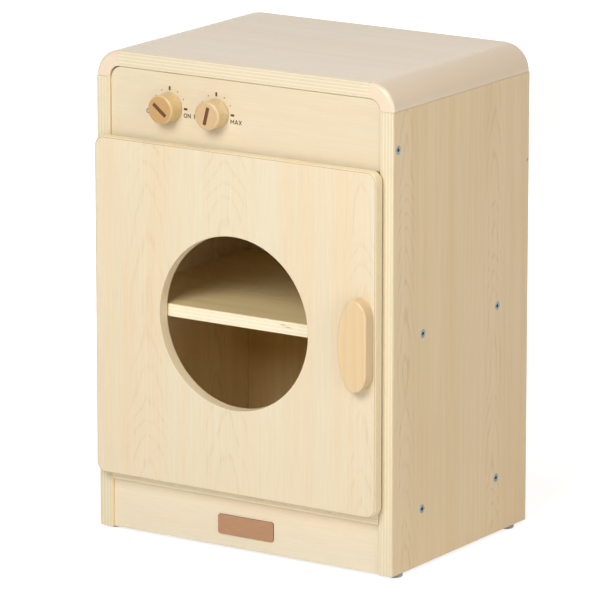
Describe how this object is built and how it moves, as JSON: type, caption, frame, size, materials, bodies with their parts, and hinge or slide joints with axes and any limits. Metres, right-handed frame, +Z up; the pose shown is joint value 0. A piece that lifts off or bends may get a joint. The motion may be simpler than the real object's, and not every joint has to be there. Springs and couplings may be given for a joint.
{
  "type": "toy washing machine",
  "caption": "Wooden toy washing machine with a round window in its hinged door, turning knobs, a shelf inside and rounded top corners.",
  "frame": {"origin": "on the floor, under the middle of the object's bounding box", "axes": "+Z up, the door faces -Y, and its hinges are on the -X side"},
  "size_m": [0.4, 0.3234, 0.565],
  "materials": {
    "maple_laminate": "maple-faced laminated plywood, satin lacquer",
    "grey_beige_laminate": "grey-beige laminate on plywood, satin",
    "cream_moulding": "cream moulded profile, semi-gloss",
    "oiled_beech": "oiled beech, satin",
    "zinc_plated_steel": "zinc-plated steel",
    "grey_polypropylene": "grey moulded polypropylene",
    "red_fibre": "pressed fibre, matt",
    "white_nylon": "white moulded nylon",
    "dark_ferrite": "sintered ferrite, matt"
  },
  "bodies": {
    "cabinet": {"back_panel": "maple_laminate", "catch_housing": "white_nylon", "catch_magnet": "dark_ferrite", "catch_screw_1": "zinc_plated_steel", "catch_screw_2": "zinc_plated_steel", "control_panel": "maple_laminate", "floor_panel": "maple_laminate", "glide_left_back": "grey_polypropylene", "glide_left_front": "grey_polypropylene", "glide_right_back": "grey_polypropylene", "glide_right_front": "grey_polypropylene", "hinge_frame_screw_1": "zinc_plated_steel", "hinge_frame_screw_2": "zinc_plated_steel", "hinge_frame_screw_3": "zinc_plated_steel", "hinge_frame_screw_4": "zinc_plated_steel", "left_back_pin": "zinc_plated_steel", "left_case_screw_1": "zinc_plated_steel", "left_case_screw_2": "zinc_plated_steel", "left_case_screw_3": "zinc_plated_steel", "left_case_screw_4": "zinc_plated_steel", "left_case_screw_5": "zinc_plated_steel", "left_corner_moulding": "cream_moulding", "left_side_panel": "maple_laminate", "lower_hinge_frame_leaf": "zinc_plated_steel", "lower_hinge_pin": "zinc_plated_steel", "plinth": "maple_laminate", "right_back_pin": "zinc_plated_steel", "right_case_screw_1": "zinc_plated_steel", "right_case_screw_2": "zinc_plated_steel", "right_case_screw_3": "zinc_plated_steel", "right_case_screw_4": "zinc_plated_steel", "right_case_screw_5": "zinc_plated_steel", "right_corner_moulding": "cream_moulding", "right_side_panel": "maple_laminate", "shelf": "maple_laminate", "top_panel": "grey_beige_laminate", "upper_hinge_frame_leaf": "zinc_plated_steel", "upper_hinge_pin": "zinc_plated_steel"},
    "door": {"door_handle": "oiled_beech", "door_panel": "maple_laminate", "handle_screw_1": "zinc_plated_steel", "handle_screw_2": "zinc_plated_steel", "hinge_door_screw_1": "zinc_plated_steel", "hinge_door_screw_2": "zinc_plated_steel", "hinge_door_screw_3": "zinc_plated_steel", "hinge_door_screw_4": "zinc_plated_steel", "lower_hinge_door_leaf": "zinc_plated_steel", "strike_plate": "zinc_plated_steel", "strike_screw": "zinc_plated_steel", "upper_hinge_door_leaf": "zinc_plated_steel"},
    "knob_left": {"knob_left": "oiled_beech", "knob_left_front_washer": "red_fibre", "knob_left_rear_washer": "zinc_plated_steel", "knob_left_spindle": "zinc_plated_steel"},
    "knob_right": {"knob_right": "oiled_beech", "knob_right_front_washer": "red_fibre", "knob_right_rear_washer": "zinc_plated_steel", "knob_right_spindle": "zinc_plated_steel"}
  },
  "joints": [
    {"name": "door_hinge", "type": "hinge", "parent": "cabinet", "child": "door", "pos_m": [-0.1948, -0.13115, 0.27], "axis": [0, 0, -1], "range_deg": [0, 150]},
    {"name": "knob_left_turn", "type": "hinge", "parent": "cabinet", "child": "knob_left", "pos_m": [-0.1004, -0.12585, 0.507], "axis": [0, 1, 0], "continuous": true},
    {"name": "knob_right_turn", "type": "hinge", "parent": "cabinet", "child": "knob_right", "pos_m": [-0.0369, -0.12585, 0.507], "axis": [0, 1, 0], "continuous": true}
  ]
}
